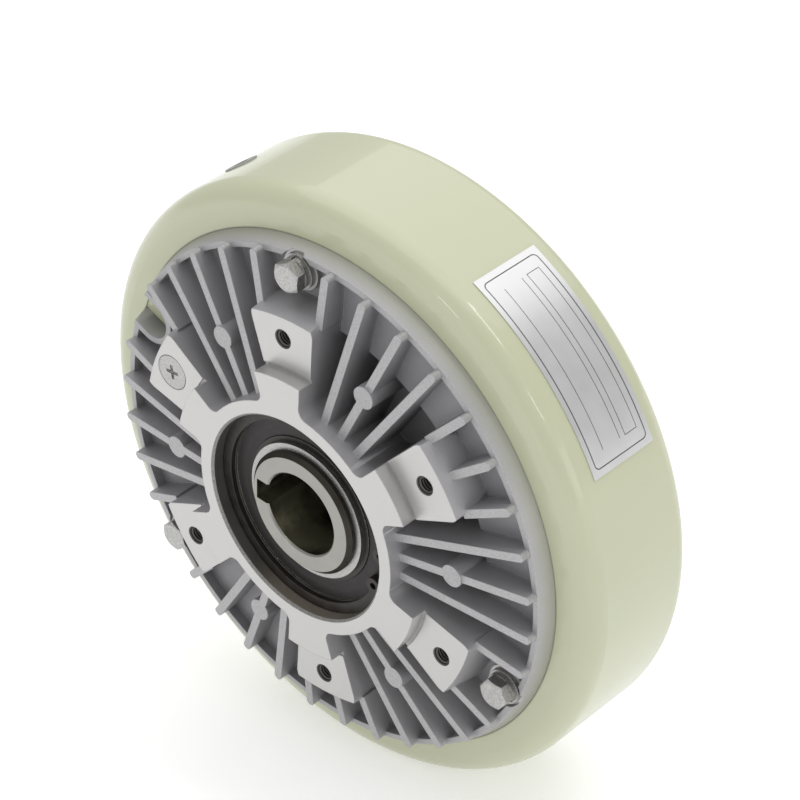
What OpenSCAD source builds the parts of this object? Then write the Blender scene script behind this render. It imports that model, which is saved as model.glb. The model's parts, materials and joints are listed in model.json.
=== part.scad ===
// Magnetic powder brake with a hollow keyed shaft, 50 N m class.
// The shaft axis lies along Y, the front looks towards -Y and +Z is up.
// The origin is on the axis, in the plane of the front mounting pads.
// Each piece is drawn around its own z axis, front upwards, then laid along Y.

/* [Shaft] */
// Diameter of the bore through the shaft
shaft_bore_d = 30; // [24:0.5:32]
// Width of the keyway
keyway_w = 8; // [5:0.5:10]
// Depth of the keyway beyond the bore wall
keyway_depth = 4.6; // [2:0.1:5]
// Angle of the keyway at rest, seen from the front
keyway_angle = 171; // [0:1:359]
// Diameter of the shaft where the bearings sit
shaft_d = 45; // [43:0.5:47]
// Length of shaft that stands out of each bearing
shaft_proud = 4.6; // [3:0.1:7]
// Chamfer around the shaft ends
shaft_chamfer = 1.5; // [0.5:0.1:2]
// Chamfer at the mouths of the bore
bore_chamfer = 0.6; // [0.2:0.1:1]
// Height of the shoulder that the bearings rest against
shoulder_h = 3; // [2:0.25:3.5]
// Diameter of the flange that carries the rotor
flange_d = 84; // [80:1:96]
// Thickness of the flange that carries the rotor
flange_t = 5.5; // [4:0.5:7]

/* [Rotor] */
// Space between the rotor drum and each bracket
rotor_side_gap = 1.9; // [0.5:0.1:3]
// Wall of the rotor drum
rotor_wall = 11; // [6:0.5:14]
// Thickness of the rotor web
web_t = 10; // [8:0.5:12]
// Radial gap between rotor and poles, which holds the powder
powder_gap = 1.5; // [1.2:0.1:2]
// Number of screws that hold the rotor on the flange
rotor_screw_count = 6; // [4:1:8]
// Pitch circle of the rotor screws
rotor_screw_pcd = 68; // [66:1:72]
// Thread size of the rotor screws
rotor_screw_d = 5; // [4:0.5:6]

/* [Bearings] */
// Outer diameter of the ball bearings
bearing_d = 75; // [72:0.5:78]
// Width of the ball bearings
bearing_w = 16; // [15:0.5:17]
// Diameter of the balls
ball_d = 8.7; // [8:0.1:9]
// Number of balls in a bearing
ball_count = 13; // [10:1:15]
// Space between the inner and the outer ring
ring_space = 7; // [6:0.25:7.5]
// Thickness of the rubber seals
bearing_seal_t = 1.2; // [0.8:0.1:1.4]
// Distance from the pad plane back to the bearing face
bearing_setback = 2.4; // [2:0.1:3]

/* [Retaining rings] */
// Thickness of the ring in the hub bore
hub_ring_t = 2.5; // [1.5:0.1:3]
// Radial width of the ring in the hub bore
hub_ring_w = 5.2; // [4:0.1:6]
// Depth of the groove in the hub bore
hub_groove_depth = 1.5; // [0.8:0.1:2]
// Angle of the gap in the ring in the hub bore
hub_ring_gap_angle = 341; // [0:1:359]
// Angle that the gap in the ring in the hub bore spans
hub_ring_gap = 24; // [12:1:24]
// Diameter of the eyes on the ring in the hub bore
hub_eye_d = 6; // [5:0.25:7]
// Diameter of the holes in the eyes
hub_eye_hole_d = 2.5; // [1.5:0.1:3]
// Thickness of the ring on the shaft
shaft_ring_t = 1.75; // [1.2:0.05:2.5]
// Radial width of the ring on the shaft
shaft_ring_w = 3.6; // [3:0.1:4.5]
// Depth of the groove in the shaft
shaft_groove_depth = 1.25; // [0.8:0.05:2]
// Angle of the gap in the ring on the shaft
shaft_ring_gap_angle = 222; // [0:1:359]
// Angle that the gap in the ring on the shaft spans
shaft_ring_gap = 12; // [8:1:30]

/* [Brackets] */
// Number of mounting pads
pad_count = 6; // [4:2:8]
// Place of the tapped holes between the pilot and the pads' ends, as a share
pad_hole_share = 0.6; // [0.5:0.05:0.7]
// Angle that a pad spans
pad_angle = 21.6; // [18:0.2:24]
// Distance from the rim's edge in to the outer ends of the pads
pad_end_inset = 20.5; // [18:0.25:23]
// Draft of the pads' outer ends, measured at the floor
pad_draft = 2.4; // [1:0.1:3]
// Radius of the pads' outer corners
pad_corner_r = 5; // [2:0.5:6]
// Thread size of the holes in the pads
pad_thread_d = 6; // [5:0.5:8]
// Depth of the tapped holes in the pads
pad_hole_depth = 16; // [10:1:18]
// Chamfer beyond the thread at the mouths of the tapped holes
pad_hole_mouth = 0.5; // [0.2:0.1:0.8]
// Height of the hub face and pilot above the pads
hub_proud = 5; // [3:0.25:7]
// Diameter of the pilot
pilot_d = 108; // [100:0.5:112]
// Diameter of the hub between the pads
hub_d = 86; // [84:0.5:92]
// Radius of the hollow where a pad's side meets the hub
hub_fillet_r = 3.5; // [2:0.5:4]
// Chamfer at the mouth of the hub bore
hub_mouth = 0.8; // [0.4:0.1:1.2]
// Distance from the yoke's outside in to the bracket's rim
rim_inset = 14.5; // [12:0.25:17]
// Radial width of the lip on the rim
lip_w = 2.1; // [2:0.1:4]
// Draft on the outside of the rim
rim_draft = 2; // [1:0.1:3]
// Distance from the pad plane back to the lip
lip_setback = 9.3; // [8.5:0.1:11]
// Distance from the pad plane back to the outer floor
floor_setback = 13.2; // [12:0.1:13.8]
// Distance from the pads' ends in to where the floor drops to the deep pockets
floor_step_inset = 6; // [3:0.5:10]
// Distance from the pad plane back to the pocket floor
pocket_setback = 19; // [16:0.5:21]
// Distance from the pad plane back to the seat on the yoke
seat_setback = 16; // [15:0.1:17]
// Distance from the rim's edge in to the spigot that centres the bracket
spigot_inset = 15.5; // [13.5:0.25:17]
// Length of the spigot
spigot_len = 9; // [7.5:0.5:10]

/* [Fins] */
// Number of fin places for each pad
fins_per_pad = 6; // [4:1:8]
// Thickness of a fin
fin_t = 3.1; // [2:0.1:4]
// Distance from the rim's edge in to the fins' outer ends
fin_inset = 2.3; // [0.5:0.1:2.5]
// Distance from the pad plane back to the fin top at the hub
fin_root_setback = 0; // [-1:0.1:2]
// Distance from the pad plane back to the fin top at the rim
fin_tip_setback = 6; // [5:0.1:8]
// Diameter of the round bosses on the fins
boss_d = 8; // [6:0.1:9]
// Distance from the circle of the tapped holes in to the bosses on the fins
boss_inset = 3; // [1:0.5:8]
// Height of the bosses above the fin top
boss_proud = 0.4; // [0.2:0.1:1]

/* [Bracket bolts] */
// Thread size of the bracket bolts
bolt_d = 6; // [5:0.5:6]
// Distance from the rim's edge in to the bracket bolts
bolt_inset = 8.5; // [7.5:0.25:9.5]
// Width across the flats of the bolt heads
bolt_flats = 10; // [8:0.5:11]
// Height of the bolt heads
bolt_head_h = 4; // [3:0.1:5]
// Diameter of the flat top of the bolt heads
bolt_top_d = 9; // [7:0.25:9.5]
// Slope of the chamfer on the bolt heads
bolt_chamfer_angle = 30; // [20:1:40]
// Angle that the first bolt's head is left at
bolt_turn = 50; // [0:1:59]
// Angle that each further bolt's head is turned on by
bolt_turn_step = 14; // [0:1:59]
// Thickness of the spring washers
spring_washer_t = 1.6; // [1:0.1:2]
// Outer diameter of the spring washers
spring_washer_d = 11; // [9.5:0.1:12]
// Width of the slit in the spring washers
spring_washer_slit = 0.8; // [0.4:0.1:1.5]
// Thickness of the flat washers
flat_washer_t = 1.6; // [1:0.1:2]
// Outer diameter of the flat washers
flat_washer_d = 12.6; // [11:0.1:13]
// Space around the flat washers on their seats
spot_gap = 1; // [0.5:0.1:1.5]
// Distance from the pad plane back to the bolt seats
bolt_seat_setback = 11; // [10.5:0.1:12]
// Length of thread in the yoke
bolt_grip = 10; // [8:0.5:11]

/* [Filler plug] */
// Diameter of the plug's countersunk head
plug_head_d = 12.6; // [10:0.1:13]
// Thread size of the plug
plug_d = 6; // [5:0.5:8]
// Width of the slots of the cross recess
plug_slot_w = 1.3; // [1:0.1:1.6]
// Length of the slots of the cross recess
plug_slot_len = 5.4; // [4:0.1:6]
// Depth of the slots of the cross recess
plug_slot_depth = 1.9; // [1:0.1:2]
// Angle that the cross recess is left at
plug_turn = 30; // [0:1:89]
// Gap around the plug's head
plug_head_gap = 0.3; // [0.1:0.05:0.4]

/* [Yoke and coil] */
// Outer diameter of the yoke
yoke_d = 218; // [200:0.5:236]
// Width of the yoke
yoke_w = 48; // [44:0.5:56]
// Depth of the brackets' seats below the yoke's faces
seat_depth = 0.6; // [0.3:0.1:1.5]
// Radius of the front shoulder of the yoke
front_shoulder_r = 8; // [5:0.5:10]
// Radius of the rear shoulder of the yoke
rear_shoulder_r = 5; // [3:0.5:10]
// Axial thickness of the pole walls beside the coil
pole_wall_t = 4.5; // [4:0.25:6]
// Radial thickness of the pole lips under the coil
pole_lip_t = 5.5; // [4:0.25:6]
// Axial length of the pole lips under the coil
pole_lip_len = 4; // [3:0.25:5]
// Radial thickness of the yoke around the coil chamber
yoke_wall = 17; // [15:0.25:19]
// Radial depth of the coil chamber
coil_depth = 18; // [14:0.5:22]
// Wall of the coil bobbin
bobbin_wall = 1.4; // [1:0.1:2]
// Depth of the space that the winding leaves at the top of the bobbin
winding_fall = 1; // [0.5:0.1:2]

/* [Seals, lead outlet and plate] */
// Axial thickness of the powder seals
powder_seal_t = 4; // [3:0.1:4.2]
// Outer diameter of the powder seals
powder_seal_d = 72; // [68:0.5:74]
// Angle of the lead outlet, seen from the front
lead_angle = 120; // [0:1:359]
// Outer diameter of the lead grommet
grommet_d = 11.5; // [11:0.5:15]
// Diameter of the grommet's neck
grommet_neck_d = 9; // [8:0.5:10]
// Diameter of the hole for the lead
lead_hole_d = 5; // [3:0.5:6]
// Thickness of the grommet's flange
grommet_flange_t = 2.2; // [1.5:0.1:3]
// Height of the grommet above the yoke
grommet_proud = 0.4; // [0.2:0.1:1.2]
// Length of the rating plate around the yoke
plate_len = 72; // [50:1:90]
// Width of the rating plate along the axis
plate_w = 28; // [20:0.5:32]
// Thickness of the rating plate
plate_t = 0.4; // [0.3:0.1:1]
// Angle of the middle of the rating plate
plate_angle = 39; // [0:1:359]
// Distance from the yoke's front to the near edge of the plate
plate_inset = 12.4; // [10:0.2:16]

/* [Clearances] */
// Radial clearance of parts that turn on each other
run_gap = 0.1; // [0.05:0.01:0.1]
// Clearance of balls in their races and pockets
race_gap = 0.12; // [0.1:0.01:0.2]
// Clearance of parts that are assembled by hand
fit_gap = 0.1; // [0.05:0.01:0.2]
// Clearance of bolts in their holes
bolt_gap = 0.3; // [0.2:0.05:0.5]
// Clearance between a turning face and a still one
end_gap = 0.5; // [0.3:0.1:1]

/* [Hidden] */
$fn = 96;

// Cuts run this far past the faces that they open.
past = 1;
// Added shapes reach this far into the body that they grow from.
root = 0.6;

seat_z = -seat_setback;
yoke_r = yoke_d / 2;
yoke_front_z = seat_z + seat_depth;
yoke_rear_z = yoke_front_z - yoke_w;
mid_z = yoke_front_z - yoke_w / 2;

shaft_r = shaft_d / 2;
shoulder_r = shaft_r + shoulder_h;
bearing_face_z = -bearing_setback;
bearing_back_z = bearing_face_z - bearing_w;
bearing_mid_z = bearing_face_z - bearing_w / 2;
shaft_end_z = bearing_face_z + shaft_proud;

pitch_r = (shaft_d + bearing_d) / 4;
inner_land_r = pitch_r - ring_space / 2;
outer_land_r = pitch_r + ring_space / 2;
race_r = ball_d / 2 + race_gap;
cage_half_t = ring_space / 4;
seal_inset = 0.5;
cage_front_z = ball_d / 4;
cage_back_z = end_gap + bearing_seal_t + seal_inset - bearing_w / 2;

hub_bore_r = bearing_d / 2;
hub_r = hub_d / 2;
bracket_back_z = -seat_setback - spigot_len;
seal_pocket_z = bracket_back_z + powder_seal_t + fit_gap;
// Radial space around the shaft's shoulder
throat_gap = 3.5;
throat_r = shoulder_r + throat_gap;
pad_step = 360 / pad_count;
first_pad = pad_step / 2;
fin_step = pad_step / fins_per_pad;
rim_r = yoke_r - rim_inset;
pad_end_r = rim_r - pad_end_inset;
pad_foot_r = pad_end_r + pad_draft;
pilot_r = pilot_d / 2;
pad_circle_r = pilot_r + pad_hole_share * (pad_end_r - pilot_r);
floor_step_r = pad_end_r - floor_step_inset;
boss_r = pad_circle_r - boss_inset;
relief_w = 1.2;
relief_depth = 0.5;
lip_outer_r = rim_r - rim_draft;
lip_inner_r = lip_outer_r - lip_w;
rim_edge_h = 0.5;
floor_slope = 1.5;
thread_drill = 0.84;
fin_end_r = rim_r - fin_inset;
notch_pad = 2;
bolt_pads = [for (i = [1 : 2 : pad_count - 1]) i];

spigot_r = rim_r - spigot_inset;
bolt_r = rim_r - bolt_inset;
bolt_seat_z = -bolt_seat_setback;
bolt_head_z = bolt_seat_z + flat_washer_t + spring_washer_t;
bolt_tip_z = -seat_setback - bolt_grip;
spot_r = flat_washer_d / 2 + spot_gap;
notch_r = bolt_r - spigot_r - fit_gap;
notch_wall = 2.2;

chamber_r = yoke_r - yoke_wall;
lip_top_r = chamber_r - coil_depth;
pole_r = lip_top_r - pole_lip_t;
rotor_r = pole_r - powder_gap;
pole_front_z = bracket_back_z - end_gap;
chamber_front_z = pole_front_z - pole_wall_t;
lip_end_z = chamber_front_z - pole_lip_len;
register_r = rim_r + fit_gap;

rotor_w = 2 * (bracket_back_z - mid_z - rotor_side_gap);
web_front_z = mid_z + web_t / 2;
web_back_z = mid_z - web_t / 2;
// Head and socket of a socket screw, in thread sizes
head_per_thread = 1.7;
socket_per_thread = 0.9;
screw_head_d = rotor_screw_d * head_per_thread;
screw_head_h = rotor_screw_d;
head_sink = 0.2;
hex = 6;

function rear_of(z) = 2 * mid_z - z;
function pad_at(i) = first_pad + i * pad_step;
function fin_top(r) =
    -fin_root_setback - (fin_tip_setback - fin_root_setback) * (r - hub_r) / (fin_end_r - hub_r);

// Lays a piece, drawn front upwards, along Y.
module lay() {
    rotate([90, 0, 0]) children();
}

// Turns a piece of the front side about the vertical to make its fellow at the rear.
module at_rear() {
    translate([0, 0, 2 * mid_z]) rotate([0, 180, 0]) children();
}

// A ring of rectangular section between two heights.
module band(r_in, r_out, z_low, z_high) {
    rotate_extrude() translate([r_in, z_low]) square([r_out - r_in, z_high - z_low]);
}

// A flat sector about the x axis that reaches out to a radius.
module sector(half_angle, r) {
    reach = r / cos(half_angle) + past;
    intersection() {
        circle(r);
        polygon([
            [0, 0],
            reach * [cos(half_angle), -sin(half_angle)],
            reach * [cos(half_angle), sin(half_angle)]
        ]);
    }
}

// A sector whose two outer corners are rounded.
module rounded_sector(half_angle, r, corner) {
    turn = asin(corner / (r - corner));
    reach = corner + past;
    difference() {
        sector(half_angle, r);
        for (side = [0, 1]) {
            mirror([0, side]) rotate(half_angle - turn) translate([r - corner, 0]) difference() {
                polygon([[0, 0], [reach, 0], [reach, reach], reach * [-sin(turn), cos(turn)]]);
                circle(corner);
            }
        }
    }
}

// What a round shoulder takes off a square corner that lies up and to the right of its centre.
module shoulder_cut(r) {
    difference() {
        square(r + past);
        circle(r);
    }
}

// Outline of the yoke's ring with round shoulders.
module yoke_outline() {
    front_r = yoke_r - front_shoulder_r;
    rear_r = yoke_r - rear_shoulder_r;
    difference() {
        translate([pole_r, yoke_rear_z]) square([yoke_r - pole_r, yoke_w]);
        translate([front_r, yoke_front_z - front_shoulder_r]) shoulder_cut(front_shoulder_r);
        translate([rear_r, yoke_rear_z + rear_shoulder_r]) mirror([0, 1]) shoulder_cut(rear_shoulder_r);
    }
}

// Section of the yoke: outer ring, front pole wall and front pole lip.
module yoke_section() {
    difference() {
        yoke_outline();
        translate([0, seat_z]) square([register_r, seat_setback]);
        translate([0, pole_front_z]) square([spigot_r + fit_gap, seat_setback]);
        translate([0, rear_of(seat_z) - seat_setback]) square([register_r, seat_setback]);
        translate([0, yoke_rear_z - past]) square([chamber_r, lip_end_z - yoke_rear_z + past]);
        translate([lip_top_r, mid_z]) square([chamber_r - lip_top_r, chamber_front_z - mid_z]);
    }
}

// Places a shape at each bracket bolt, and tells it the number of the bolt.
module at_bolts() {
    for ($bolt = [0 : len(bolt_pads) - 1]) {
        rotate(pad_at(bolt_pads[$bolt])) translate([bolt_r, 0, 0]) children();
    }
}

// Tapped holes for the bracket bolts.
module bolt_threads() {
    at_bolts() translate([0, 0, bolt_tip_z - past])
        cylinder(r = bolt_d / 2 + run_gap, h = bolt_grip + 2 * past);
}

// Turns a shape that points along x into the place of the lead outlet.
module at_lead() {
    translate([0, 0, mid_z]) rotate(lead_angle) rotate([0, 90, 0]) children();
}

module yoke() {
    seat_r = yoke_r + grommet_proud - grommet_flange_t;
    color([0.77, 0.79, 0.64]) lay() difference() {
        rotate_extrude() yoke_section();
        bolt_threads();
        at_lead() translate([0, 0, chamber_r - past])
            cylinder(r = grommet_neck_d / 2 + fit_gap, h = yoke_r - chamber_r + 2 * past);
        at_lead() translate([0, 0, seat_r]) cylinder(r = grommet_d / 2 + fit_gap, h = grommet_flange_t);
    }
}

module rear_pole_ring() {
    rear_seat_z = rear_of(seat_z);
    lip_high_z = rear_of(lip_end_z);
    wall_high_z = rear_of(chamber_front_z);
    color([0.55, 0.55, 0.56]) lay() difference() {
        rotate_extrude() difference() {
            translate([pole_r, rear_seat_z]) square([chamber_r - pole_r, lip_high_z - rear_seat_z]);
            translate([0, rear_seat_z - past])
                square([spigot_r + fit_gap, rear_of(pole_front_z) - rear_seat_z + past]);
            translate([lip_top_r, wall_high_z]) square([chamber_r, lip_high_z - wall_high_z + past]);
        }
        at_rear() bolt_threads();
    }
}

// The non-magnetic ring between the two pole lips.
module pole_spacer() {
    color([0.74, 0.6, 0.32]) lay() band(pole_r, lip_top_r, rear_of(lip_end_z), lip_end_z);
}

module coil_bobbin() {
    half_w = chamber_front_z - mid_z - fit_gap;
    color([0.16, 0.16, 0.17]) lay() translate([0, 0, mid_z]) rotate_extrude() difference() {
        translate([lip_top_r + fit_gap, -half_w]) square([chamber_r - lip_top_r - 2 * fit_gap, 2 * half_w]);
        translate([lip_top_r + fit_gap + bobbin_wall, bobbin_wall - half_w])
            square([chamber_r, 2 * half_w - 2 * bobbin_wall]);
    }
}

module coil_winding() {
    half_w = chamber_front_z - mid_z - fit_gap - bobbin_wall;
    color([0.72, 0.38, 0.18]) lay() translate([0, 0, mid_z])
        band(lip_top_r + fit_gap + bobbin_wall, chamber_r - fit_gap - winding_fall, -half_w, half_w);
}

// The charge of powder, drawn as the ring that it forms under field.
module magnetic_powder() {
    color([0.25, 0.24, 0.24]) lay() translate([0, 0, mid_z])
        band(rotor_r + powder_gap / 4, pole_r, -rotor_w / 4, rotor_w / 4);
}

// Section of the bracket's turned body: hub, floors, rim and spigot.
module bracket_section() {
    polygon([
        [hub_bore_r, hub_proud],
        [hub_r, hub_proud],
        [hub_r, -pocket_setback],
        [floor_step_r - floor_slope, -pocket_setback],
        [floor_step_r, -floor_setback],
        [lip_inner_r, -floor_setback],
        [lip_inner_r, -lip_setback],
        [lip_outer_r, -lip_setback],
        [rim_r, seat_z + rim_edge_h],
        [rim_r, seat_z],
        [spigot_r, seat_z],
        [spigot_r, bracket_back_z],
        [powder_seal_d / 2, bracket_back_z],
        [powder_seal_d / 2, seal_pocket_z],
        [throat_r, seal_pocket_z],
        [throat_r, bearing_back_z],
        [hub_bore_r, bearing_back_z]
    ]);
}

// Section of a pad and of its part of the pilot.
module pad_section() {
    polygon([
        [hub_bore_r + root, hub_proud],
        [pilot_r, hub_proud],
        [pilot_r, -relief_depth],
        [pilot_r + relief_w, -relief_depth],
        [pilot_r + relief_w, 0],
        [pad_end_r, 0],
        [pad_foot_r, -floor_setback],
        [pad_foot_r, -floor_setback - root],
        [floor_step_r, -pocket_setback - root],
        [hub_bore_r + root, -pocket_setback - root]
    ]);
}

// What fills the corner between a pad's side, which lies along x, and the hub.
module hub_fillet() {
    centre = [sqrt(pow(hub_r + hub_fillet_r, 2) - pow(hub_fillet_r, 2)), hub_fillet_r];
    inside = (hub_r - root) / (hub_r + hub_fillet_r);
    difference() {
        polygon([[hub_r - 2 * root, -root], [centre[0], -root], centre, centre * inside]);
        translate(centre) circle(hub_fillet_r);
    }
}

module pad() {
    low_z = -pocket_setback - root;
    intersection() {
        translate([0, 0, low_z - root]) linear_extrude(hub_proud - low_z + 2 * root)
            rounded_sector(pad_angle / 2, pad_foot_r, pad_corner_r);
        rotate_extrude() pad_section();
    }
    for (side = [0, 1]) {
        translate([0, 0, low_z]) linear_extrude(hub_proud - low_z)
            mirror([0, side]) rotate(pad_angle / 2) hub_fillet();
    }
}

// A bar along x with a round far end.
module round_bar(from_x, end_x, half_w) {
    difference() {
        translate([from_x, -half_w]) square([end_x - from_x, 2 * half_w]);
        for (side = [0, 1]) {
            mirror([0, side]) translate([end_x - half_w, 0]) shoulder_cut(half_w);
        }
    }
}

// A fin from a given radius to the rim, with a round outer end.
module fin(r_from) {
    high_z = fin_top(r_from) + root;
    foot_z = -floor_setback - root;
    low_z = -pocket_setback - root;
    intersection() {
        translate([0, 0, low_z - root]) linear_extrude(high_z - low_z + root)
            round_bar(r_from - root, fin_end_r, fin_t / 2);
        rotate([90, 0, 0]) linear_extrude(fin_t + root, center = true) polygon(concat(
            [[r_from, fin_top(r_from)], [rim_r, fin_top(rim_r)], [rim_r, foot_z]],
            r_from < floor_step_r - floor_slope
                ? [[floor_step_r, foot_z], [floor_step_r - floor_slope, low_z], [r_from, low_z]]
                : [[r_from, foot_z]]
        ));
    }
}

// The fins that belong to one pad: short ones at its end, long ones on one side of it.
module fin_group(i) {
    short_from = pad_end_r - root;
    has_end_fin = i != notch_pad && len(search(i, bolt_pads)) == 0;
    for (k = [0 : fins_per_pad - 1]) {
        is_short = k < 2 || k == fins_per_pad - 1;
        if (k > 0 || has_end_fin) {
            rotate(k * fin_step) fin(is_short ? short_from : hub_r - root);
        }
    }
    rotate(pad_step / 2) translate([boss_r, 0, -pocket_setback - root])
        cylinder(d = boss_d, h = fin_top(boss_r) + boss_proud + pocket_setback + root);
}

// A slot with a round inner end, open towards the rim.
module notch(r, z_low, z_high) {
    translate([bolt_r, 0, z_low]) linear_extrude(z_high - z_low)
        mirror([1, 0]) round_bar(bolt_r - rim_r - past, r, r);
}

// Keeps what lies inside the rim's lip.
module inside_lip() {
    intersection() {
        translate([0, 0, seat_z]) cylinder(r = lip_outer_r, h = seat_setback);
        children();
    }
}

module bracket_casting() {
    rotate_extrude() bracket_section();
    for (i = [0 : pad_count - 1]) {
        rotate(pad_at(i)) pad();
        rotate(pad_at(i)) fin_group(i);
    }
    inside_lip() at_bolts() translate([0, 0, -floor_setback - root])
        cylinder(r = spot_r, h = bolt_seat_z + floor_setback + root);
    inside_lip() rotate(pad_at(notch_pad))
        notch(notch_r + notch_wall, -floor_setback - root, -lip_setback + root);
}

// A tapped hole with a chamfered mouth, downwards from the pad plane.
module pad_hole() {
    hole_r = pad_thread_d * thread_drill / 2;
    mouth_r = pad_thread_d / 2 + pad_hole_mouth;
    translate([0, 0, -pad_hole_depth]) cylinder(r = hole_r, h = pad_hole_depth + past);
    translate([0, 0, hole_r - mouth_r])
        cylinder(r1 = hole_r, r2 = mouth_r + past, h = mouth_r - hole_r + past);
}

// The countersunk through hole for the filler plug.
module plug_hole() {
    neck_r = plug_d / 2 + fit_gap;
    head_r = plug_head_d / 2 + plug_head_gap;
    translate([0, 0, bracket_back_z - past]) cylinder(r = neck_r, h = -bracket_back_z + 2 * past);
    translate([0, 0, neck_r - head_r]) cylinder(r1 = neck_r, r2 = head_r + past, h = head_r - neck_r + past);
}

module bracket(filler) {
    groove_low_z = bearing_face_z;
    groove_high_z = bearing_face_z + hub_ring_t + fit_gap;
    difference() {
        bracket_casting();
        band(hub_bore_r - past, hub_bore_r + hub_groove_depth, groove_low_z, groove_high_z);
        translate([0, 0, hub_proud - hub_mouth])
            cylinder(r1 = hub_bore_r, r2 = hub_bore_r + hub_mouth + past, h = hub_mouth + past);
        for (i = [0 : pad_count - 1]) {
            rotate(pad_at(i)) translate([pad_circle_r, 0, 0]) {
                if (filler && i == notch_pad) plug_hole(); else pad_hole();
            }
        }
        at_bolts() translate([0, 0, bolt_seat_z]) cylinder(r = spot_r, h = bolt_seat_setback);
        at_bolts() translate([0, 0, seat_z - past])
            cylinder(r = bolt_d / 2 + bolt_gap, h = seat_setback + past);
        rotate(pad_at(notch_pad)) notch(notch_r, seat_z - past, hub_proud);
    }
}

module front_bracket() {
    color([0.66, 0.66, 0.67]) lay() bracket(true);
}

module rear_bracket() {
    color([0.66, 0.66, 0.67]) lay() at_rear() bracket(false);
}

// A hex head, left at a given angle, whose upper corners are turned off to a cone.
module bolt_head(turn) {
    corner_r = bolt_flats / 2 / cos(180 / hex);
    edge_r = corner_r + past;
    edge_z = bolt_head_h - (edge_r - bolt_top_d / 2) * tan(bolt_chamfer_angle);
    intersection() {
        rotate(turn) cylinder(r = corner_r, h = bolt_head_h, $fn = hex);
        rotate_extrude() polygon([
            [0, 0],
            [edge_r, 0],
            [edge_r, edge_z],
            [bolt_top_d / 2, bolt_head_h],
            [0, bolt_head_h]
        ]);
    }
}

module bolts() {
    at_bolts() {
        translate([0, 0, bolt_head_z]) bolt_head(bolt_turn + $bolt * bolt_turn_step);
        translate([0, 0, bolt_tip_z]) cylinder(d = bolt_d, h = bolt_head_z - bolt_tip_z);
    }
}

module spring_washers() {
    at_bolts() difference() {
        translate([0, 0, bolt_seat_z + flat_washer_t])
            band(bolt_d / 2 + fit_gap, spring_washer_d / 2, 0, spring_washer_t);
        translate([0, -spring_washer_slit / 2, bolt_seat_z])
            cube([spring_washer_d, spring_washer_slit, bolt_seat_setback]);
    }
}

module flat_washers() {
    at_bolts() translate([0, 0, bolt_seat_z])
        band(bolt_d / 2 + bolt_gap, flat_washer_d / 2, 0, flat_washer_t);
}

module front_bolts() {
    color([0.78, 0.78, 0.76]) lay() bolts();
}

module front_spring_washers() {
    color([0.7, 0.7, 0.69]) lay() spring_washers();
}

module front_flat_washers() {
    color([0.75, 0.75, 0.74]) lay() flat_washers();
}

module rear_bolts() {
    color([0.78, 0.78, 0.76]) lay() at_rear() bolts();
}

module rear_spring_washers() {
    color([0.7, 0.7, 0.69]) lay() at_rear() spring_washers();
}

module rear_flat_washers() {
    color([0.75, 0.75, 0.74]) lay() at_rear() flat_washers();
}

// The countersunk screw that closes the powder filling hole.
module filler_plug() {
    head_h = (plug_head_d - plug_d) / 2;
    color([0.72, 0.72, 0.71]) lay() rotate(pad_at(notch_pad)) translate([pad_circle_r, 0, -fit_gap])
    difference() {
        union() {
            translate([0, 0, -head_h]) cylinder(d1 = plug_d, d2 = plug_head_d, h = head_h);
            translate([0, 0, bracket_back_z + end_gap]) cylinder(d = plug_d, h = -bracket_back_z - head_h);
        }
        for (turn = [0, 90]) {
            rotate(plug_turn + turn) cube([plug_slot_len, plug_slot_w, 2 * plug_slot_depth], center = true);
        }
    }
}

module lead_grommet() {
    top_r = yoke_r + grommet_proud;
    color([0.1, 0.1, 0.1]) lay() at_lead() difference() {
        union() {
            translate([0, 0, top_r - grommet_flange_t]) cylinder(d = grommet_d, h = grommet_flange_t);
            translate([0, 0, chamber_r + fit_gap])
                cylinder(d = grommet_neck_d, h = top_r - chamber_r - fit_gap);
        }
        translate([0, 0, chamber_r]) cylinder(d = lead_hole_d, h = yoke_r);
    }
}

// A bare plate that follows the yoke's round side.
module rating_plate() {
    span = plate_len / yoke_r * 180 / PI;
    far_z = yoke_front_z - plate_inset - plate_w;
    color([0.9, 0.9, 0.9]) lay() rotate(plate_angle - span / 2)
        rotate_extrude(angle = span) translate([yoke_r, far_z]) square([plate_t, plate_w]);
}

// A flat open ring with an eye at each side of its gap.
module hub_ring() {
    outer_r = hub_bore_r + hub_groove_depth - fit_gap;
    inner_r = outer_r - hub_ring_w;
    half_gap = hub_ring_gap / 2;
    color([0.3, 0.3, 0.31]) rotate(hub_ring_gap_angle) translate([0, 0, bearing_face_z])
        linear_extrude(hub_ring_t) difference() {
            union() {
                difference() {
                    circle(outer_r);
                    circle(inner_r);
                    sector(half_gap, outer_r + past);
                }
                for (side = [-1, 1]) {
                    rotate(side * half_gap) translate([inner_r, 0]) circle(hub_eye_d / 2);
                }
            }
            for (side = [-1, 1]) {
                rotate(side * half_gap) translate([inner_r, 0]) circle(hub_eye_hole_d / 2);
            }
        }
}

module front_hub_ring() {
    lay() hub_ring();
}

module rear_hub_ring() {
    lay() at_rear() hub_ring();
}

// The felt ring that keeps the powder out of a bearing.
module powder_seal() {
    color([0.45, 0.42, 0.38])
        band(shoulder_r + run_gap, powder_seal_d / 2, bracket_back_z, bracket_back_z + powder_seal_t);
}

module front_powder_seal() {
    lay() powder_seal();
}

module rear_powder_seal() {
    lay() at_rear() powder_seal();
}

module outer_race() {
    color([0.62, 0.62, 0.63]) translate([0, 0, bearing_mid_z]) rotate_extrude() difference() {
        translate([outer_land_r, -bearing_w / 2]) square([hub_bore_r - outer_land_r, bearing_w]);
        translate([pitch_r, 0]) circle(race_r);
    }
}

module front_outer_race() {
    lay() outer_race();
}

module rear_outer_race() {
    lay() at_rear() outer_race();
}

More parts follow.
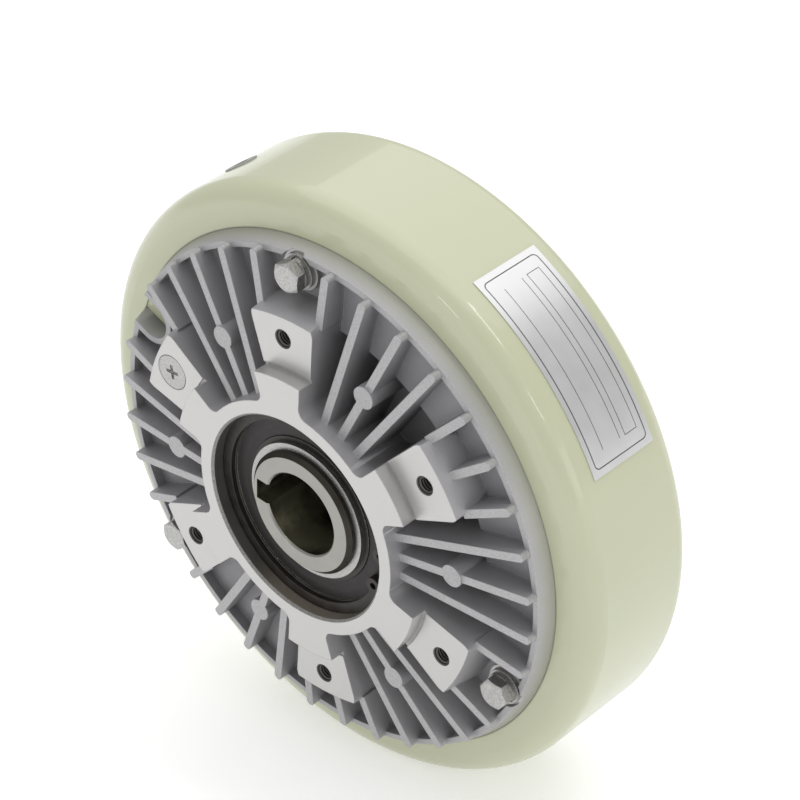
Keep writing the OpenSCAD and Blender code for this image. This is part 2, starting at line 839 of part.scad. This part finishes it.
module inner_race() {
    color([0.68, 0.68, 0.68]) translate([0, 0, bearing_mid_z]) rotate_extrude() difference() {
        translate([shaft_r, -bearing_w / 2]) square([inner_land_r - shaft_r, bearing_w]);
        translate([pitch_r, 0]) circle(race_r);
    }
}

module front_inner_race() {
    lay() inner_race();
}

module rear_inner_race() {
    lay() at_rear() inner_race();
}

// The two rubber shields of a bearing.
module bearing_seals() {
    far = bearing_w / 2 - seal_inset;
    color([0.07, 0.07, 0.07]) translate([0, 0, bearing_mid_z]) for (z = [far - bearing_seal_t, -far]) {
        band(inner_land_r + run_gap, outer_land_r, z, z + bearing_seal_t);
    }
}

module front_bearing_seals() {
    lay() bearing_seals();
}

module rear_bearing_seals() {
    lay() at_rear() bearing_seals();
}

module at_balls() {
    translate([0, 0, bearing_mid_z]) for (i = [0 : ball_count - 1]) {
        rotate(i * 360 / ball_count) translate([pitch_r, 0, 0]) children();
    }
}

module ball_cage() {
    color([0.75, 0.68, 0.45]) difference() {
        translate([0, 0, bearing_mid_z])
            band(pitch_r - cage_half_t, pitch_r + cage_half_t, cage_back_z, cage_front_z);
        at_balls() sphere(race_r);
    }
}

module balls() {
    color([0.8, 0.8, 0.82]) at_balls() sphere(ball_d / 2);
}

module front_ball_cage() {
    lay() ball_cage();
}

module front_balls() {
    lay() balls();
}

module rear_ball_cage() {
    lay() at_rear() ball_cage();
}

module rear_balls() {
    lay() at_rear() balls();
}

// Half of the shaft's section, from the middle to the front end.
module shaft_half_section() {
    bore_r = shaft_bore_d / 2;
    groove_low_z = bearing_face_z;
    groove_high_z = bearing_face_z + shaft_ring_t + fit_gap;
    groove_r = shaft_r - shaft_groove_depth;
    polygon([
        [bore_r, mid_z],
        [shoulder_r, mid_z],
        [shoulder_r, bearing_back_z],
        [shaft_r, bearing_back_z],
        [shaft_r, groove_low_z],
        [groove_r, groove_low_z],
        [groove_r, groove_high_z],
        [shaft_r, groove_high_z],
        [shaft_r, shaft_end_z - shaft_chamfer],
        [shaft_r - shaft_chamfer, shaft_end_z],
        [bore_r + bore_chamfer, shaft_end_z],
        [bore_r, shaft_end_z - bore_chamfer]
    ]);
}

// Places a shape at each rotor screw.
module at_rotor_screws() {
    for (i = [0 : rotor_screw_count - 1]) {
        rotate(i * 360 / rotor_screw_count) translate([rotor_screw_pcd / 2, 0, 0]) children();
    }
}

module hollow_shaft() {
    length = 2 * (shaft_end_z - mid_z);
    color([0.74, 0.74, 0.74]) lay() difference() {
        union() {
            rotate_extrude() shaft_half_section();
            at_rear() rotate_extrude() shaft_half_section();
            band(shaft_bore_d / 2 + root, flange_d / 2, web_back_z - flange_t, web_back_z);
        }
        rotate(keyway_angle) translate([0, -keyway_w / 2, mid_z - length / 2 - past])
            cube([shaft_bore_d / 2 + keyway_depth, keyway_w, length + 2 * past]);
        at_rotor_screws() translate([0, 0, web_back_z - flange_t - past])
            cylinder(d = rotor_screw_d, h = flange_t + 2 * past);
    }
}

module rotor_drum() {
    rim_in_r = rotor_r - rotor_wall;
    color([0.58, 0.58, 0.6]) lay() difference() {
        union() {
            translate([0, 0, mid_z]) band(rim_in_r, rotor_r, -rotor_w / 2, rotor_w / 2);
            band(shoulder_r, rim_in_r + root, web_back_z, web_front_z);
        }
        at_rotor_screws() {
            translate([0, 0, web_back_z - past])
                cylinder(d = rotor_screw_d + 2 * fit_gap, h = web_t + 2 * past);
            translate([0, 0, web_front_z - screw_head_h - head_sink])
                cylinder(d = screw_head_d + 2 * fit_gap, h = screw_head_h + head_sink + past);
        }
    }
}

module rotor_screws() {
    head_z = web_front_z - screw_head_h - head_sink;
    tip_z = web_back_z - flange_t;
    color([0.2, 0.2, 0.21]) lay() at_rotor_screws() difference() {
        union() {
            translate([0, 0, head_z]) cylinder(d = screw_head_d, h = screw_head_h);
            translate([0, 0, tip_z]) cylinder(d = rotor_screw_d, h = head_z - tip_z);
        }
        translate([0, 0, head_z + screw_head_h / 2])
            cylinder(d = rotor_screw_d * socket_per_thread, h = screw_head_h, $fn = hex);
    }
}

// The open ring that holds a bearing on the shaft.
module shaft_ring() {
    inner_r = shaft_r - shaft_groove_depth;
    color([0.75, 0.75, 0.74]) translate([0, 0, bearing_face_z]) rotate(shaft_ring_gap_angle)
        linear_extrude(shaft_ring_t) difference() {
            circle(inner_r + shaft_ring_w);
            circle(inner_r);
            sector(shaft_ring_gap / 2, shaft_d);
        }
}

module front_shaft_ring() {
    lay() shaft_ring();
}

module rear_shaft_ring() {
    lay() at_rear() shaft_ring();
}

yoke();
rear_pole_ring();
pole_spacer();
coil_bobbin();
coil_winding();
magnetic_powder();
front_bracket();
rear_bracket();
front_bolts();
front_spring_washers();
front_flat_washers();
rear_bolts();
rear_spring_washers();
rear_flat_washers();
filler_plug();
lead_grommet();
rating_plate();
front_hub_ring();
rear_hub_ring();
front_powder_seal();
rear_powder_seal();
front_outer_race();
rear_outer_race();
front_bearing_seals();
rear_bearing_seals();
hollow_shaft();
rotor_drum();
rotor_screws();
front_inner_race();
rear_inner_race();
front_shaft_ring();
rear_shaft_ring();
front_ball_cage();
front_balls();
rear_ball_cage();
rear_balls();
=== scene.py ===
"""Looks of a magnetic powder brake: painted field ring, finned cast brackets, hollow keyed shaft."""
import json
from math import pi, radians

import bpy
from mathutils import Matrix, Vector


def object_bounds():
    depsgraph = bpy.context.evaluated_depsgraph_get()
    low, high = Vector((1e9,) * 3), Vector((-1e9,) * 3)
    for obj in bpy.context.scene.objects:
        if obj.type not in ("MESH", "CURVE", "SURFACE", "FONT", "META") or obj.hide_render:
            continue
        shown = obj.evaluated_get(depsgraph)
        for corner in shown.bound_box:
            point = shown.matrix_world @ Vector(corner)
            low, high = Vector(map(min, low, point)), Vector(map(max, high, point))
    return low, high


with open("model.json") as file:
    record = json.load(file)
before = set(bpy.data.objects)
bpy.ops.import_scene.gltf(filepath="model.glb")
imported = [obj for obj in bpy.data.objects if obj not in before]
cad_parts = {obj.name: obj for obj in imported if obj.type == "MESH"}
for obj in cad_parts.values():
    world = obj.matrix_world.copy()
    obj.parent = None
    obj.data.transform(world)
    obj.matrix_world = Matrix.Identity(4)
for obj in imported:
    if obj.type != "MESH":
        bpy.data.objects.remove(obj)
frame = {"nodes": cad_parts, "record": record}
first_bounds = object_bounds()

# Places in millimetres. A depth is a distance from the middle plane, the same at the front and at the rear.
# The pads lie in the plane y = 0.
MM = 1000.0
MID_Y = (first_bounds[0][1] + first_bounds[1][1]) / 2 * MM
HUB_DEPTH = (first_bounds[1][1] - first_bounds[0][1]) / 2 * MM
HUB_MOUTH_R = 38.4
HUB_RING_R = 33.8
HUB_RING_DEPTH = 37.5
RACE_DEPTH = 37.0
PAD_DEPTH = MID_Y
PAD_CIRCLE_R = 66.0
PAD_STEP = pi / 3
HOLE_R = 3.7
HOLE_FLOOR_DEPTH = 22.0
PLUG_REACH = 8.0
PILOT_R = 54.0
SEAT_DEPTH = 28.4
YOKE_R = first_bounds[1][0] * MM
RIM_R = YOKE_R - 14.5
LIP_R = RIM_R - 2.0
LIP_DEPTH = 30.1
POCKET_TOP_DEPTH = 33.0
POCKET_FLOOR_DEPTH = 21.0
RIDGE_DEPTH = 26.8
RIDGE_START_R = 70.0
NOTCH_ANGLE = 5 * pi / 6
OUTLET_R = 100.0
KEYWAY_R = 20.4
SHAFT_EDGE_R = 20.8
PLATE_R = YOKE_R + 0.2
PLATE_Y = 41.8
PLATE_ANGLE = radians(39)

# A flat within this reach of a depth counts as lying at it.
FACE_REACH = 0.25


class Wire:
    """One output of a node tree, so that shader sums are written as Python sums."""

    def __init__(self, tree, socket):
        self.tree = tree
        self.socket = socket

    def node(self, kind, settings=None, inputs=None, out=0):
        """Adds any other node: settings first, then values or wires for its sockets."""
        made = self.tree.nodes.new(kind)
        for name, value in (settings or {}).items():
            setattr(made, name, value)
        for name, value in (inputs or {}).items():
            if isinstance(value, Wire):
                self.tree.links.new(value.socket, made.inputs[name])
            else:
                made.inputs[name].default_value = value
        return Wire(self.tree, made.outputs[out])

    def math(self, operation, *others):
        return self.node("ShaderNodeMath", {"operation": operation}, dict(enumerate((self,) + others)))

    def __add__(self, other):
        return self.math("ADD", other)

    def __radd__(self, other):
        return self.math("ADD", other)

    def __sub__(self, other):
        return self.math("SUBTRACT", other)

    def __rsub__(self, other):
        return self * -1 + other

    def __mul__(self, other):
        return self.math("MULTIPLY", other)

    def __rmul__(self, other):
        return self.math("MULTIPLY", other)

    def __truediv__(self, other):
        return self.math("DIVIDE", other)

    def __rtruediv__(self, other):
        return self.math("POWER", -1) * other

    def __pow__(self, other):
        return self.math("POWER", other)

    def __abs__(self):
        return self.math("ABSOLUTE")

    def __gt__(self, other):
        return self.math("GREATER_THAN", other)

    def __lt__(self, other):
        return self.math("LESS_THAN", other)

    def near(self, place, reach):
        """1 within reach of a place, else 0."""
        return abs(self - place) < reach

    def ramp(self, low, high):
        """0 below low, 1 above high, smooth between; low may be the larger one."""
        return self.node(
            "ShaderNodeMapRange", {"interpolation_type": "SMOOTHSTEP"},
            {"Value": self, "From Min": low, "From Max": high},
        )

    def wave(self):
        """The sine of this angle, moved to lie between 0 and 1."""
        return self.math("SINE") * 0.5 + 0.5

    def parts(self):
        """The three components of a vector."""
        return [self.node("ShaderNodeSeparateXYZ", None, {0: self}, axis) for axis in range(3)]

    def vector(self, y, z):
        return self.node("ShaderNodeCombineXYZ", None, {0: self, 1: y, 2: z})

    def noise(self, scale, detail=3.0):
        """Soft noise between 0 and 1 at this place, with about scale waves in a unit."""
        return self.node("ShaderNodeTexNoise", None, {"Vector": self, "Scale": scale, "Detail": detail})

    def blend(self, low, high):
        """A colour from low to high, colours or wires, by this share."""
        return self.node(
            "ShaderNodeMix", {"data_type": "RGBA"},
            {0: self, 6: colour(low), 7: colour(high)}, 2,
        )


def colour(value):
    return value if isinstance(value, Wire) else (*value, 1.0)


class Look:
    """A material with one shader, and the places on the piece in millimetres."""

    def __init__(self, name, metallic=0.0):
        self.material = bpy.data.materials.new(name)
        self.material.use_nodes = True
        tree = self.material.node_tree
        self.shader = next(n for n in tree.nodes if n.type == "BSDF_PRINCIPLED")
        self.set("Metallic", metallic)
        coords = tree.nodes.new("ShaderNodeTexCoord")
        own = Wire(tree, coords.outputs["Object"])
        self.place = own.node("ShaderNodeVectorMath", {"operation": "SCALE"}, {0: own, "Scale": MM})
        x, self.y, self.z = self.place.parts()
        self.r = (x * x + self.z * self.z) ** 0.5
        self.angle = self.z.math("ARCTAN2", x)
        self.depth = abs(self.y - MID_Y)
        normal = own.node("ShaderNodeNewGeometry", None, None, "True Normal")
        self.face = abs(normal.parts()[1])

    def set(self, name, value):
        if isinstance(value, Wire):
            value.tree.links.new(value.socket, self.shader.inputs[name])
        else:
            self.shader.inputs[name].default_value = value

    def finish(self, height, depth_mm, edge_mm=0.0):
        """Surface relief from a height between 0 and 1, over edges softened by edge_mm."""
        inputs = {"Height": height, "Distance": depth_mm / MM, "Strength": 1.0}
        if edge_mm:
            inputs["Normal"] = height.node("ShaderNodeBevel", {"samples": 6}, {"Radius": edge_mm / MM})
        self.set("Normal", height.node("ShaderNodeBump", None, inputs))

    def turned(self, pitch_mm):
        """Height of fine turning marks around the shaft axis."""
        return (self.r / pitch_mm).vector(0.0, 0.0).noise(1.0, 2.0)


def yoke_paint():
    """Glossy pale enamel, a little uneven, with a dark line where the bracket's rim meets it."""
    look = Look("yoke_paint")
    broad = look.place.noise(0.02)
    notch = look.angle.near(NOTCH_ANGLE, 0.075)
    seam = look.r.ramp(RIM_R + 0.6, RIM_R + 0.2) * (1 - notch)
    paint = broad.blend((0.575, 0.597, 0.408), (0.614, 0.636, 0.442))
    look.set("Base Color", (seam * 0.5).blend(paint, (0.14, 0.14, 0.10)))
    look.set("Roughness", 0.30 + broad * 0.05)
    look.set("Coat Weight", 0.5)
    look.set("Coat Roughness", 0.05)
    look.finish(look.place.noise(0.35, 1.0), 0.004)
    return look.material


def turned_faces(look, flat):
    """Where a bracket was turned bright: all of it, the hub's face alone, the pilot's round alone."""
    pads = flat * look.depth.near(PAD_DEPTH, FACE_REACH) * (look.r > PILOT_R + 0.5)
    hub = flat * look.depth.near(HUB_DEPTH, FACE_REACH)
    seats = flat * look.depth.near(SEAT_DEPTH, FACE_REACH)
    pilot = (look.face < 0.2) * look.r.near(PILOT_R, 0.4) * (look.depth > PAD_DEPTH - 0.9)
    return (pads + hub + seats + pilot).math("MINIMUM", 1.0), hub, pilot


def tapped_walls(look):
    """Walls of the holes in the pads, one in each sixth of the circle."""
    turn = (look.angle / PAD_STEP).math("FRACT")
    across = (turn - 0.5) * (PAD_STEP * PAD_CIRCLE_R)
    from_axis = ((look.r - PAD_CIRCLE_R) ** 2 + across ** 2) ** 0.5
    return (from_axis < HOLE_R) * (look.face < 0.9) * (look.depth > HOLE_FLOOR_DEPTH)


def fin_foot_highlight(look):
    """A line along the fins' feet on the pocket walls, away from the notch: a painted highlight of the fillet
    there, also raised in the relief.
    """
    walls = (look.face < 0.4) * (look.r > RIDGE_START_R) * (look.r < LIP_R - 2.5)
    return walls * look.depth.near(RIDGE_DEPTH, 0.3) * (abs(look.angle - NOTCH_ANGLE) > 0.13)


def light_mark_shares(look, flat, cut, foot_highlight_ridge):
    """How much lighter colour goes on: on the fin tops and the lip's face, and as painted highlights on the
    lip's outer edge, the fin ends and the line along the fins' feet.
    """
    lip = flat * look.depth.near(LIP_DEPTH, FACE_REACH) * (look.r > LIP_R - 3.0)
    # Painted highlight along the lip's outer edge.
    lip_edge_highlight = look.r.near(LIP_R, 0.45) * look.depth.near(LIP_DEPTH, 0.5)
    fin_tops = look.face.ramp(0.96, 0.985) * (look.depth > LIP_DEPTH + 1.7) * (1 - cut)
    # Painted highlight on the fin ends.
    fin_end_highlights = (look.face < 0.2) * (look.r > LIP_R - 1.4) * (look.depth > LIP_DEPTH + 0.2)
    return fin_tops * 0.75 + fin_end_highlights * 0.6 + lip * 0.4 + lip_edge_highlight * 0.45 + foot_highlight_ridge * 0.55


def cast_skin(look, light_marks, blotch, speckle):
    """The skin's colour: painted shade in the pockets, a painted green reflection of the paint low on the
    rim's slope, painted light on the upper slope, and the lighter marks.
    """
    slope = (look.r > LIP_R - 0.1) * (look.depth < LIP_DEPTH - 0.3) * (look.face > 0.2)
    # Painted reflection of the green paint beside it, low on the rim's slope.
    slope_green_reflection = slope * look.r.ramp(LIP_R, RIM_R - 0.5)
    # Painted shade, darker further down in the pockets.
    pocket_shade = look.depth.ramp(POCKET_TOP_DEPTH, POCKET_FLOOR_DEPTH) * look.r.ramp(LIP_R - 0.5, LIP_R - 2.6)
    skin = blotch.blend((0.40, 0.394, 0.405), (0.51, 0.503, 0.515))
    skin = (pocket_shade * 0.68).blend(skin, (0.15, 0.147, 0.155))
    skin = (slope_green_reflection * 0.7).blend(skin, (0.44, 0.445, 0.365))
    # The lighter colour, for the fin tops, the lip and the painted highlights.
    light_mark_colour = speckle.blend((0.40, 0.395, 0.40), (0.58, 0.575, 0.58))
    # Painted light on the upper part of the rim's slope.
    light_marks = light_marks + (slope - slope_green_reflection) * 0.35
    return light_marks.math("MINIMUM", 0.8).blend(skin, light_mark_colour)


def hub_colour(look, base, hub, bore, blotch, speckle):
    """The hub's dull mouth and its oiled bore, with painted light that makes it lighter brown at the bottom.
    """
    mouth = (look.r < HUB_MOUTH_R) * (look.depth > HUB_DEPTH - 0.85) * (1 - hub)
    base = mouth.blend(base, speckle.blend((0.22, 0.215, 0.205), (0.40, 0.39, 0.375)))
    oil = blotch.blend((0.060, 0.056, 0.052), (0.150, 0.142, 0.130))
    # Painted light: lighter brown towards the bottom of the bore.
    light_from_z, light_to_z = -27.0, -37.5
    bottom_light = look.z.ramp(light_from_z, light_to_z) * 0.85
    return bore.blend(base, bottom_light.blend(oil, (0.30, 0.262, 0.215)))


def cast_aluminium():
    """Grainy die-cast skin, faces turned bright, tapped holes and an oiled hub bore."""
    look = Look("cast_aluminium")
    flat = look.face.ramp(0.95, 0.99)
    cut, hub, pilot = turned_faces(look, flat)
    bore = (look.r < HUB_MOUTH_R) * (look.depth < HUB_DEPTH - 0.8)
    tapped = tapped_walls(look)
    foot_highlight_ridge = fin_foot_highlight(look)
    grain = look.place.noise(1.6, 4.0)
    speckle = grain.ramp(0.2, 0.8)
    blotch = look.place.noise(0.06)
    marks = look.turned(0.22)
    bright = (marks * 0.6 + grain * 0.4).blend((0.52, 0.515, 0.507), (0.63, 0.625, 0.615))
    skin = cast_skin(look, light_mark_shares(look, flat, cut, foot_highlight_ridge), blotch, speckle)
    base = hub_colour(look, cut.blend(skin, bright), hub, bore, blotch, speckle)
    shade = grain.blend((0.02, 0.019, 0.016), (0.12, 0.115, 0.10))
    look.set("Base Color", (tapped * 0.85).blend(base, shade))
    look.set("Metallic", 0.6 + cut * 0.2 - pilot * 0.25 - bore * 0.25)
    look.set("Roughness", (0.46 + grain * 0.2 - bore * 0.16) * (1 - cut) + (0.30 + marks * 0.14) * cut)
    rough = (grain * 0.3 + foot_highlight_ridge) * (1 - cut) * (1 - tapped)
    thread_mm = 1.0
    thread = (look.y * (2 * pi / thread_mm)).wave() * tapped
    look.finish(rough + marks * 0.06 * cut + thread * 2.0, 0.25, 0.5)
    return look.material


def turned_steel(name, dark, light, roughness):
    """Machined steel or brass with turning marks."""
    look = Look(name, 1.0)
    marks = look.turned(0.3)
    look.set("Base Color", (marks * 0.6 + look.place.noise(0.1) * 0.4).blend(dark, light))
    look.set("Roughness", roughness + marks * 0.12)
    look.finish(marks, 0.006, 0.25)
    return look.material


def shaft_steel():
    """Turned shaft: plain end faces, outer rounds dark with painted shade, and a dark bore with a painted
    gleam at its front.
    """
    look = Look("shaft_steel")
    marks = look.turned(0.25)
    cloud = look.place.noise(0.12)
    smear = look.place.noise(0.06, 4.0).ramp(0.36, 0.66)
    inside = (look.r < KEYWAY_R) * (look.face < 0.5)
    outside = (look.r > SHAFT_EDGE_R) * (look.face < 0.9)
    # A painted gleam on the bore wall, on the lower left near the front.
    around = look.angle.ramp(-2.9, -2.5) * look.angle.ramp(-2.1, -2.45)
    along = look.y.ramp(16.0, 2.0)
    bore_gleam = around * along * look.place.noise(0.3, 4.0).ramp(0.3, 0.65)
    bright = (marks * 0.5 + cloud * 0.5).blend((0.275, 0.267, 0.246), (0.40, 0.39, 0.362))
    olive = (smear * 0.5 + bore_gleam * 0.5).blend((0.016, 0.013, 0.006), (0.34, 0.32, 0.21))
    # Painted shade on the shaft's outer rounds.
    round_shade = cloud.blend((0.030, 0.026, 0.022), (0.085, 0.078, 0.066))
    look.set("Base Color", outside.blend(inside.blend(bright, olive), round_shade))
    look.set("Metallic", 0.95 - inside * 0.35)
    look.set("Roughness", 0.28 + marks * 0.12 + outside * 0.14 + inside * 0.08)
    look.finish(marks, 0.006, 0.3)
    return look.material


def bearing_steel():
    """Ground bearing rings and balls, the faces of the rings dark."""
    look = Look("bearing_steel", 1.0)
    marks = look.turned(0.3)
    dark_faces = (look.face > 0.9) * look.depth.near(RACE_DEPTH, 0.2)
    steel = look.place.noise(0.15).blend((0.45, 0.44, 0.42), (0.62, 0.61, 0.585))
    look.set("Base Color", (dark_faces * 0.92).blend(steel, (0.03, 0.028, 0.026)))
    look.set("Roughness", 0.16 + marks * 0.1 + dark_faces * 0.25)
    look.finish(marks, 0.004, 0.2)
    return look.material


def zinc_steel():
    """Zinc plate, mottled and handled, with painted shade on the flanks of the heads and painted light in the
    plug's recess.
    """
    look = Look("zinc_steel", 0.9)
    mottle = look.place.noise(1.5, 5.0).ramp(0.2, 0.8)
    # Painted shade on the flanks of the heads.
    flank_shade = look.face.ramp(0.7, 0.3)
    # Painted light in the plug's recess.
    recess = look.r.near(PAD_CIRCLE_R, PLUG_REACH) * (look.depth < PAD_DEPTH - 0.4)
    plated = mottle.blend((0.34, 0.336, 0.325), (0.58, 0.575, 0.562))
    plated = (flank_shade * 0.35).blend(plated, (0.11, 0.107, 0.095))
    look.set("Base Color", recess.blend(plated, (0.80, 0.79, 0.78)))
    look.set("Roughness", 0.30 + mottle * 0.2)
    look.finish(look.place.noise(1.2), 0.08, 0.25)
    return look.material


def black_rubber():
    """Moulded rubber with faint rings, black on the seals and dusty grey at the lead outlet."""
    look = Look("black_rubber")
    wave_rate = 2.1
    rings = (look.r * wave_rate).wave()
    dust = look.place.noise(0.4, 4.0)
    seal = dust.blend((0.014, 0.010, 0.011), (0.035, 0.027, 0.028))
    outlet = dust.blend((0.32, 0.32, 0.312), (0.45, 0.45, 0.44))
    look.set("Base Color", (look.r > OUTLET_R).blend(seal, outlet))
    look.set("Roughness", 0.44 + dust * 0.25)
    look.finish(rings * 0.5 + dust * 0.2, 0.1, 0.2)
    return look.material


def spring_steel():
    """Oiled dark spring steel, with a painted highlight along the inner edge of the hub's ring."""
    look = Look("spring_steel", 0.7)
    smear = look.place.noise(0.25, 4.0)
    oiled = smear.blend((0.024, 0.021, 0.020), (0.085, 0.076, 0.069))
    # Painted highlight along the ring's inner edge.
    edge = (look.face < 0.5) * look.r.near(HUB_RING_R, 0.4) * look.depth.near(HUB_RING_DEPTH, 0.28)
    light_marks = edge * smear.ramp(0.15, 0.5)
    look.set("Base Color", (light_marks * 0.85).blend(oiled, (0.42, 0.39, 0.33)))
    look.set("Roughness", 0.32 + smear * 0.25)
    look.finish(look.place.noise(1.0), 0.02, 0.25)
    return look.material


def plate_lines(along, across):
    """A border with round corners, two ruled lines and one long box, all blank."""
    border_end, border_side, corner_r, border_w = 33.4, 11.8, 1.5, 0.4
    past_end = (abs(along) - (border_end - corner_r)).math("MAXIMUM", 0.0)
    past_side = (abs(across) - (border_side - corner_r)).math("MAXIMUM", 0.0)
    past_border = (past_end ** 2 + past_side ** 2) ** 0.5 - corner_r
    border = (past_border > 0.0) * (past_border < border_w)
    field_end, rule_mid, rule_gap, rule_w = 29.0, -2.6, 4.0, 0.12
    rules = abs(across - rule_mid).near(rule_gap, rule_w) * (abs(along) < field_end)
    box_mid, box_side, box_w = 6.6, 2.6, 0.25
    past_box = (abs(along) - field_end).math("MAXIMUM", abs(across - box_mid) - box_side)
    box = (past_box > 0.0) * (past_box < box_w)
    return border.math("MAXIMUM", rules).math("MAXIMUM", box)


def plate_foil():
    """Silver-white foil with a border and blank ruled fields."""
    look = Look("plate_foil", 0.75)
    ink = plate_lines((look.angle - PLATE_ANGLE) * PLATE_R, look.y - PLATE_Y)
    sheen = look.place.noise(0.15)
    white = sheen.blend((0.70, 0.70, 0.70), (0.77, 0.77, 0.77))
    look.set("Base Color", ink.blend(white, (0.11, 0.11, 0.115)))
    look.set("Roughness", 0.29 + sheen * 0.1)
    look.finish(look.place.noise(1.5), 0.006)
    return look.material


def grainy(name, dark, light, scale, metallic, roughness, depth_mm):
    """A plain stuff with a grain: plastic, felt, powder or blackened screws."""
    look = Look(name, metallic)
    grain = look.place.noise(scale, 4.0)
    look.set("Base Color", grain.blend(dark, light))
    look.set("Roughness", roughness - 0.08 + grain * 0.16)
    look.finish(grain, depth_mm)
    return look.material


def copper_wire():
    """Layers of enamelled wire around the axis."""
    look = Look("copper_wire", 0.9)
    wave_rate = 7.0
    strands = (look.y * wave_rate).math("SINE") * (look.r * wave_rate).math("SINE") * 0.5 + 0.5
    look.set("Base Color", strands.blend((0.28, 0.10, 0.04), (0.66, 0.30, 0.13)))
    look.set("Roughness", 0.24 + strands * 0.14)
    look.finish(strands, 0.2)
    return look.material


LOOKS = {
    "yoke_paint": yoke_paint(),
    "cast_aluminium": cast_aluminium(),
    "pole_steel": turned_steel("pole_steel", (0.34, 0.34, 0.345), (0.52, 0.52, 0.53), 0.34),
    "spacer_brass": turned_steel("spacer_brass", (0.58, 0.42, 0.16), (0.78, 0.60, 0.28), 0.28),
    "bearing_steel": bearing_steel(),
    "shaft_steel": shaft_steel(),
    "zinc_steel": zinc_steel(),
    "black_rubber": black_rubber(),
    "spring_steel": spring_steel(),
    "plate_foil": plate_foil(),
    "copper_wire": copper_wire(),
    "bobbin_plastic": grainy(
        "bobbin_plastic", (0.02, 0.02, 0.022), (0.05, 0.05, 0.055), 0.6, 0.0, 0.5, 0.03,
    ),
    "iron_powder": grainy(
        "iron_powder", (0.03, 0.03, 0.03), (0.13, 0.125, 0.12), 2.5, 0.5, 0.7, 0.2,
    ),
    "felt": grainy(
        "felt", (0.18, 0.16, 0.13), (0.34, 0.31, 0.26), 1.8, 0.0, 0.9, 0.3,
    ),
    "cage_plastic": grainy(
        "cage_plastic", (0.44, 0.37, 0.22), (0.60, 0.53, 0.34), 0.5, 0.0, 0.45, 0.03,
    ),
    "black_screw_steel": grainy(
        "black_screw_steel", (0.02, 0.02, 0.02), (0.06, 0.06, 0.06), 0.8, 0.7, 0.4, 0.02,
    ),
}


def dress():
    """Gives each node the material that is named as its slot in the record."""
    for part in frame["record"]["subparts"]:
        piece = frame["nodes"][part["node"]]
        piece.data.materials.clear()
        piece.data.materials.append(LOOKS[part["material_slot"]])


def place_object(name, data, right, up, back, place):
    """Puts a lamp or a camera in the scene by its own three directions."""
    holder = bpy.data.objects.new(name, data)
    turn = Matrix((right, up, back)).transposed().to_4x4()
    holder.matrix_world = Matrix.Translation(place) @ turn
    bpy.context.scene.collection.objects.link(holder)
    return holder


def area_light(name, place, size, power, along=(1.0, 0.0, 0.0)):
    """A flat lamp that looks at the part, its first side along a given direction."""
    lamp = bpy.data.lights.new(name, "AREA")
    lamp.shape = "RECTANGLE"
    lamp.size, lamp.size_y = size
    lamp.energy = power
    back = Vector(place).normalized()
    up = back.cross(Vector(along)).normalized()
    place_object(name, lamp, up.cross(back), up, back, place)


def white_floor():
    """A floor with a faint glow, and more of it for the camera and in mirrors, so that it comes out white."""
    floor_z = min(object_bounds()[0][2], first_bounds[0][2])
    half = 4.0
    mesh = bpy.data.meshes.new("floor")
    sides = ((-half, -half), (half, -half), (half, half), (-half, half))
    corners = [(x, y, floor_z) for x, y in sides]
    mesh.from_pydata(corners, [], [(0, 1, 2, 3)])
    floor = bpy.data.objects.new("floor", mesh)
    bpy.context.scene.collection.objects.link(floor)
    look = Look("floor_white")
    look.set("Base Color", look.place.noise(0.004).blend((0.88, 0.88, 0.88), (0.90, 0.90, 0.90)))
    look.set("Roughness", 0.9)
    rays = ("Is Camera Ray", "Is Glossy Ray", "Is Transmission Ray")
    direct, mirrored, passed = (look.place.node("ShaderNodeLightPath", None, None, ray) for ray in rays)
    seen = direct.math("MAXIMUM", mirrored).math("MAXIMUM", passed)
    glow, seen_glow = 0.12, 0.26
    look.set("Emission Color", (glow + seen * seen_glow).blend((0.0, 0.0, 0.0), (1.0, 1.0, 1.0)))
    look.set("Emission Strength", 1.0)
    floor.data.materials.append(look.material)


def studio():
    """A soft white room, wide lamps above, right and in front, and narrow ones for gleams on the paint."""
    world = bpy.data.worlds.new("room")
    world.use_nodes = True
    back = next(n for n in world.node_tree.nodes if n.type == "BACKGROUND")
    back.inputs["Color"].default_value = (1.0, 1.0, 1.0, 1.0)
    back.inputs["Strength"].default_value = 0.5
    bpy.context.scene.world = world
    area_light("above", (-0.25, 0.5, 1.5), (2.4, 2.4), 18.0)
    area_light("right", (1.6, 0.1, 0.2), (0.8, 0.5), 2.0, (0.0, 1.0, 0.0))
    area_light("front", (-0.4, -1.9, 0.3), (2.5, 1.0), 4.2)
    area_light("strip_above", (0.607, 0.222, 1.01), (0.35, 0.07), 0.95, (-0.86, 0.04, 0.50))
    area_light("strip_front", (0.085, -1.015, 0.634), (0.14, 0.05), 0.30, (-0.89, 0.17, 0.41))
    area_light("strip_right", (1.02, -0.21, 0.596), (0.19, 0.06), 0.45, (-0.53, -0.03, 0.85))


def camera():
    """The photograph's view, from the front right and from above."""
    lens = bpy.data.cameras.new("view")
    lens.lens = 137.16
    lens.sensor_width = 36.0
    right = Vector((0.7277, 0.6806, -0.0847)).normalized()
    back = Vector((0.6107, -0.5867, 0.5318)).normalized()
    up = back.cross(right).normalized()
    place = (0.61773, -0.54536, 0.55618)
    bpy.context.scene.camera = place_object("view", lens, up.cross(back), up, back, place)


dress()
white_floor()
studio()
camera()
bpy.context.scene.view_settings.view_transform = "Standard"
